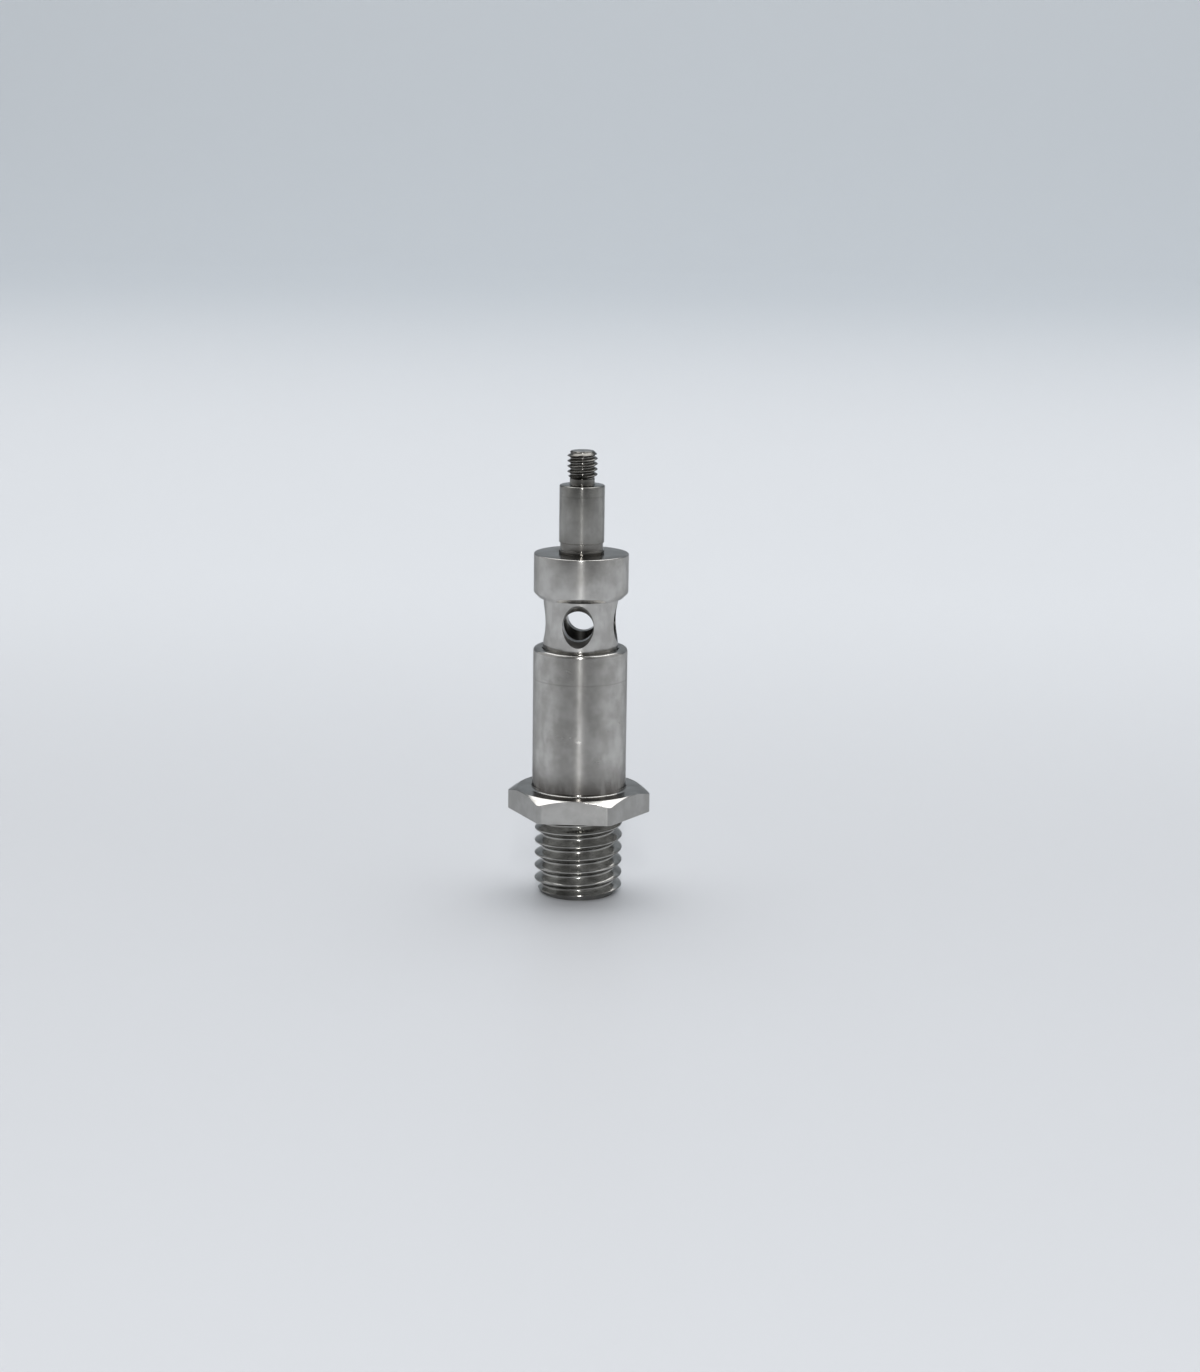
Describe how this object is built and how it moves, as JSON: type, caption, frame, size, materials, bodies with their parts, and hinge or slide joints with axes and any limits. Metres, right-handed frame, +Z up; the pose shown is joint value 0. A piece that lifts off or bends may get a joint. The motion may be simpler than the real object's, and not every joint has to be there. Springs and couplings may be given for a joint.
{
  "type": "pressure relief valve",
  "caption": "Small turned stainless relief valve: threaded inlet with hex, barrel, ported vent head with cap, stem and top stud.",
  "frame": {"origin": "centre of the lower end face of the inlet thread", "axes": "+Z up along the valve's axis from the inlet to the top stud, -Y out through one flat of the hex and one vent port"},
  "size_m": [0.0192, 0.0168, 0.0601],
  "materials": {
    "stainless": "satin turned stainless steel",
    "seat_steel": "fine lapped stainless steel",
    "spring_steel": "drawn stainless spring wire",
    "seal_rubber": "moulded black rubber",
    "bronze": "satin bronze",
    "nylon": "matt natural nylon"
  },
  "bodies": {
    "body": {"inlet_body": "stainless", "seat_nozzle": "seat_steel"},
    "poppet": {"poppet": "stainless", "seal_disc": "seal_rubber", "seal_washer": "seat_steel", "seal_screw": "seat_steel", "spring": "spring_steel"},
    "spring_seat": {"spring_plate": "stainless", "thrust_washer": "bronze"},
    "head": {"vent_head": "stainless", "head_o_ring": "seal_rubber", "locking_pellet": "nylon", "stem": "stainless"}
  },
  "joints": [
    {"name": "poppet_lift", "type": "slide", "parent": "body", "child": "poppet", "axis": [0, 0, 1], "range_m": [0, 0.0015], "stiffness_N_per_m": 2300, "springref_m": -0.0057, "deforming": ["spring"]},
    {"name": "seat_travel", "type": "slide", "parent": "body", "child": "spring_seat", "axis": [0, 0, 1], "range_m": [-0.00125, 0.001]},
    {"name": "head_turn", "type": "hinge", "parent": "spring_seat", "child": "head", "pos_m": [0, 0, 0.03735], "axis": [0, 0, 1], "range_deg": [-453, 363]}
  ],
  "couplings": [
    {"joint": "head_turn", "follows": "seat_travel", "rad_per_m": 6283.2}
  ]
}
